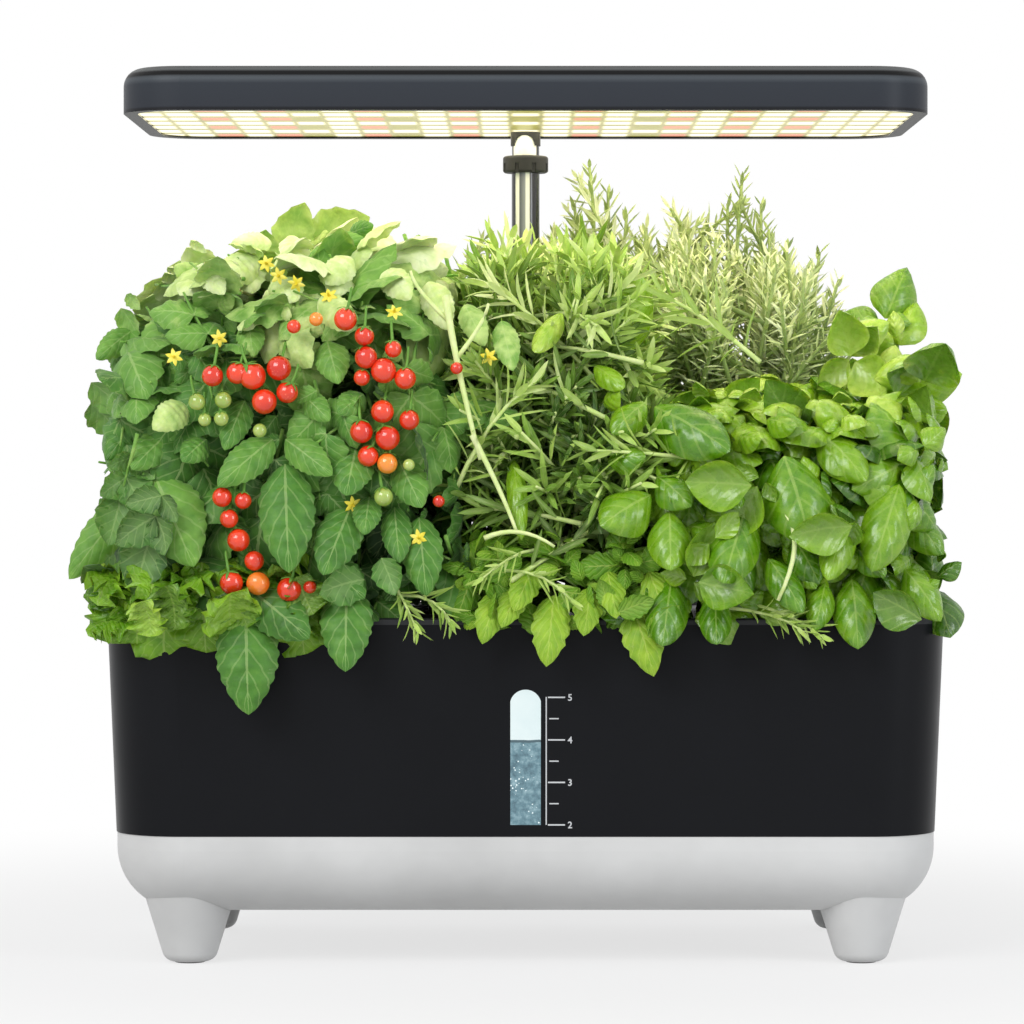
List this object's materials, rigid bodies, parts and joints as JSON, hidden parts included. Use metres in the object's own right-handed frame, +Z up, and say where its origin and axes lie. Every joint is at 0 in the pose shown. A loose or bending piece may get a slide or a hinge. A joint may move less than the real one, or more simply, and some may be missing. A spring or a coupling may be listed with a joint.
{
  "type": "countertop hydroponic garden",
  "caption": "Planted countertop hydroponic garden: water tank on tapered legs with a level gauge, grow deck of net baskets, herbs and cherry tomatoes, and a lamp on a sliding mast.",
  "frame": {"origin": "on the table under the middle of the footprint", "axes": "+X to the right, -Y towards the front with the level gauge, +Z up"},
  "size_m": [0.4482, 0.2612, 0.444],
  "materials": {
    "base_plastic": "warm grey moulded plastic, satin",
    "pad_rubber": "soft rubber",
    "screw_steel": "zinc plated steel",
    "shell_plastic": "black moulded plastic with a soft gloss",
    "tank_plastic": "milky moulded plastic",
    "gauge_clear": "clear window",
    "gauge_water": "water seen through the window",
    "deck_plastic": "black moulded plastic, fine grain",
    "lid_plastic": "black moulded plastic, fine grain",
    "basket_plastic": "black moulded plastic",
    "sponge": "brown growing sponge",
    "panel_plastic": "black gloss plastic",
    "board": "green circuit board",
    "switch_plastic": "black push switches",
    "button_plastic": "grey keys",
    "pump_plastic": "black pump casing",
    "rotor_plastic": "white rotor",
    "hose": "soft clear-grey hose",
    "socket_plastic": "black inlet",
    "mast_metal": "polished dark tube",
    "neck_metal": "polished bright tube",
    "collar_plastic": "charcoal moulded plastic",
    "lamp_plastic": "black satin lamp housing",
    "lamp_board": "pale reflective board",
    "white_light": "glowing warm white cells",
    "red_light": "glowing red cells",
    "diffuser": "thin clear diffuser",
    "tomato_leaf": "soft hairy tomato leaf",
    "lettuce_leaf": "frilled lettuce leaf",
    "mint_leaf": "fresh mint leaf",
    "tarragon_leaf": "narrow pale leaf",
    "rosemary_leaf": "grey-green needles",
    "basil_leaf": "glossy basil leaf",
    "ripe_fruit": "shiny red fruit skin",
    "turning_fruit": "shiny orange fruit skin",
    "green_fruit": "shiny green fruit skin"
  },
  "bodies": {
    "reservoir": {"base_shell": "base_plastic", "leg_front_left": "base_plastic", "leg_front_right": "base_plastic", "leg_rear_left": "base_plastic", "leg_rear_right": "base_plastic", "foot_pads": "pad_rubber", "leg_screws": "screw_steel", "outer_shell": "shell_plastic", "inner_tank": "tank_plastic", "level_window": "gauge_clear", "gauge_water": "gauge_water"},
    "deck": {"grow_deck": "deck_plastic", "grow_basket_01": "basket_plastic", "grow_basket_02": "basket_plastic", "grow_basket_03": "basket_plastic", "grow_basket_04": "basket_plastic", "grow_basket_05": "basket_plastic", "grow_basket_06": "basket_plastic", "grow_basket_07": "basket_plastic", "grow_basket_08": "basket_plastic", "grow_basket_09": "basket_plastic", "grow_basket_10": "basket_plastic", "grow_basket_11": "basket_plastic", "grow_basket_12": "basket_plastic", "grow_sponges": "sponge", "control_panel": "panel_plastic", "control_board": "board", "button_switches": "switch_plastic", "refill_pin": "screw_steel", "pump_body": "pump_plastic", "pump_cover": "pump_plastic", "pump_hose": "hose", "mast_socket": "deck_plastic", "dc_socket": "socket_plastic", "mast_outer_tube": "mast_metal", "tomato_plant": "tomato_leaf", "lettuce_plant": "lettuce_leaf", "mint_plant": "mint_leaf", "tarragon_plant": "tarragon_leaf", "rosemary_plant": "rosemary_leaf", "basil_front_plant": "basil_leaf", "basil_right_plant": "basil_leaf", "red_fruit": "ripe_fruit", "orange_fruit": "turning_fruit", "green_fruit": "green_fruit"},
    "lamp": {"mast_inner_tube": "neck_metal", "lamp_neck": "neck_metal", "lamp_bracket": "panel_plastic", "lamp_housing": "lamp_plastic", "led_board": "lamp_board", "white_leds": "white_light", "red_leds": "red_light", "lamp_diffuser": "diffuser", "lamp_screws": "screw_steel"},
    "lock_collar": {"lock_collar": "collar_plastic"},
    "light_button": {"light_button": "button_plastic"},
    "pump_button": {"pump_button": "button_plastic"},
    "refill_lid": {"refill_lid": "lid_plastic"},
    "pump_rotor": {"pump_rotor": "rotor_plastic"}
  },
  "joints": [
    {"name": "deck_lift", "type": "slide", "parent": "reservoir", "child": "deck", "axis": [0, 0, 1], "range_m": [0, 0.12]},
    {"name": "lamp_raise", "type": "slide", "parent": "deck", "child": "lamp", "axis": [0, 0, 1], "range_m": [0, 0.15]},
    {"name": "collar_twist", "type": "hinge", "parent": "deck", "child": "lock_collar", "pos_m": [0, 0.065, 0.405], "axis": [0, 0, 1], "range_deg": [0, 60]},
    {"name": "light_button_press", "type": "slide", "parent": "deck", "child": "light_button", "axis": [0, 0, -1], "range_m": [0, 0.0012], "stiffness_N_per_m": 400, "springref_m": -0.0006},
    {"name": "pump_button_press", "type": "slide", "parent": "deck", "child": "pump_button", "axis": [0, 0, -1], "range_m": [0, 0.0012], "stiffness_N_per_m": 400, "springref_m": -0.0006},
    {"name": "refill_lid_hinge", "type": "hinge", "parent": "deck", "child": "refill_lid", "pos_m": [0.157, 0, 0.1732], "axis": [0, -1, 0], "range_deg": [0, 95]},
    {"name": "pump_spin", "type": "hinge", "parent": "deck", "child": "pump_rotor", "pos_m": [0, 0, 0.055], "axis": [0, 0, 1], "continuous": true}
  ]
}
